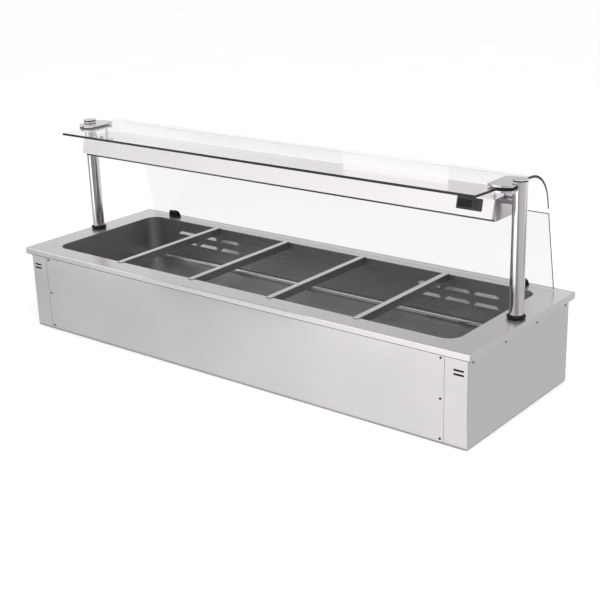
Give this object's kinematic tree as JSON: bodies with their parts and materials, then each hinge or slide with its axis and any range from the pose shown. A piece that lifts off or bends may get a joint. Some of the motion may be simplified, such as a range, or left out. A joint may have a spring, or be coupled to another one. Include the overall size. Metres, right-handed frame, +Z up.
{
  "type": "drop-in bain marie",
  "caption": "Drop-in dry-heat bain marie: a deep pan well with lift-out divider bars in a steel counter top, under a heated gantry on end posts with a bent glass shelf and rear guard.",
  "frame": {"origin": "middle of the base, on the surface that the casing stands on", "axes": "+X along the counter to the end with the controller, +Y from the operator's side to the glass guard, +Z up"},
  "size_m": [1.9, 0.65, 0.732],
  "materials": {
    "top_steel": "satin stainless with a fine even grain",
    "case_steel": "satin stainless sheet",
    "well_steel": "pressed stainless in the well's shade",
    "bar_steel": "satin stainless",
    "tube_steel": "polished stainless tube",
    "plate_steel": "polished stainless plate",
    "light_box_steel": "satin stainless sheet",
    "hidden_steel": "galvanised sheet and plated fasteners",
    "shelf_glass": "clear toughened glass",
    "rubber": "black rubber",
    "black_plastic": "black moulded plastic",
    "display": "smoked display window",
    "keys": "soft grey keys",
    "insulation": "mineral wool",
    "ceramic": "white ceramic",
    "lamp": "frosted quartz tube"
  },
  "bodies": {
    "unit": {"countertop": "top_steel", "well_tub": "well_steel", "well_insulation": "insulation", "base_pan": "hidden_steel", "end_panel_left": "case_steel", "end_panel_right": "case_steel", "rear_panel": "case_steel", "front_panel": "case_steel", "casing_screws": "hidden_steel", "air_duct_left": "hidden_steel", "air_duct_right": "hidden_steel", "fan_frame_left": "black_plastic", "fan_frame_right": "black_plastic", "air_heater_left": "hidden_steel", "air_heater_right": "hidden_steel", "terminal_box": "ceramic", "cable_gland": "black_plastic", "post_left": "tube_steel", "post_right": "tube_steel", "post_boot_left": "rubber", "post_boot_right": "rubber", "post_cap_left": "tube_steel", "post_cap_right": "tube_steel", "cap_seals": "rubber", "post_bolts": "hidden_steel", "cross_rail": "tube_steel", "clamp_plate_left": "plate_steel", "clamp_plate_right": "plate_steel", "shelf_bracket_left": "plate_steel", "shelf_bracket_right": "plate_steel", "glass_rubbers": "rubber", "clamp_screws": "hidden_steel", "box_hangers": "tube_steel", "shelf_glass": "shelf_glass", "lower_glass": "shelf_glass", "glass_foot_left": "black_plastic", "glass_foot_right": "black_plastic", "foot_screws": "hidden_steel", "light_box_cover": "light_box_steel", "light_box_end_left": "light_box_steel", "light_box_end_right": "light_box_steel", "lamp_tray": "hidden_steel", "heat_lamps": "lamp", "lamp_holders": "ceramic", "lamp_guard": "light_box_steel", "controller_body": "black_plastic", "controller_display": "display"},
    "divider_bar_1": {"divider_bar_1": "bar_steel"},
    "divider_bar_2": {"divider_bar_2": "bar_steel"},
    "divider_bar_3": {"divider_bar_3": "bar_steel"},
    "divider_bar_4": {"divider_bar_4": "bar_steel"},
    "glass_knob_left": {"glass_knob_left": "black_plastic"},
    "glass_knob_right": {"glass_knob_right": "black_plastic"},
    "fan_rotor_left": {"fan_rotor_left": "black_plastic"},
    "fan_rotor_right": {"fan_rotor_right": "black_plastic"},
    "controller_key_1": {"controller_key_1": "keys"},
    "controller_key_2": {"controller_key_2": "keys"},
    "controller_key_3": {"controller_key_3": "keys"},
    "controller_key_4": {"controller_key_4": "keys"}
  },
  "joints": [
    {"name": "divider_bar_1_lift", "type": "slide", "parent": "unit", "child": "divider_bar_1", "axis": [0, 0, 1], "range_m": [0, 0.08]},
    {"name": "divider_bar_2_lift", "type": "slide", "parent": "unit", "child": "divider_bar_2", "axis": [0, 0, 1], "range_m": [0, 0.08]},
    {"name": "divider_bar_3_lift", "type": "slide", "parent": "unit", "child": "divider_bar_3", "axis": [0, 0, 1], "range_m": [0, 0.08]},
    {"name": "divider_bar_4_lift", "type": "slide", "parent": "unit", "child": "divider_bar_4", "axis": [0, 0, 1], "range_m": [0, 0.08]},
    {"name": "glass_knob_left_turn", "type": "hinge", "parent": "unit", "child": "glass_knob_left", "pos_m": [-0.775, 0.269, 0.327], "axis": [0, 1, 0], "range_deg": [0, 360]},
    {"name": "fan_rotor_left_spin", "type": "hinge", "parent": "unit", "child": "fan_rotor_left", "pos_m": [-0.56, 0.175, 0.041], "axis": [0, 0, 1], "continuous": true},
    {"name": "glass_knob_right_turn", "type": "hinge", "parent": "unit", "child": "glass_knob_right", "pos_m": [0.775, 0.269, 0.327], "axis": [0, 1, 0], "range_deg": [0, 360]},
    {"name": "fan_rotor_right_spin", "type": "hinge", "parent": "unit", "child": "fan_rotor_right", "pos_m": [0.56, 0.175, 0.041], "axis": [0, 0, 1], "continuous": true},
    {"name": "controller_key_1_press", "type": "slide", "parent": "unit", "child": "controller_key_1", "axis": [0, 0.9701, -0.2425], "range_m": [0, 0.0008], "stiffness_N_per_m": 400, "springref_m": -0.0002},
    {"name": "controller_key_2_press", "type": "slide", "parent": "unit", "child": "controller_key_2", "axis": [0, 0.9701, -0.2425], "range_m": [0, 0.0008], "stiffness_N_per_m": 400, "springref_m": -0.0002},
    {"name": "controller_key_3_press", "type": "slide", "parent": "unit", "child": "controller_key_3", "axis": [0, 0.9701, -0.2425], "range_m": [0, 0.0008], "stiffness_N_per_m": 400, "springref_m": -0.0002},
    {"name": "controller_key_4_press", "type": "slide", "parent": "unit", "child": "controller_key_4", "axis": [0, 0.9701, -0.2425], "range_m": [0, 0.0008], "stiffness_N_per_m": 400, "springref_m": -0.0002}
  ]
}
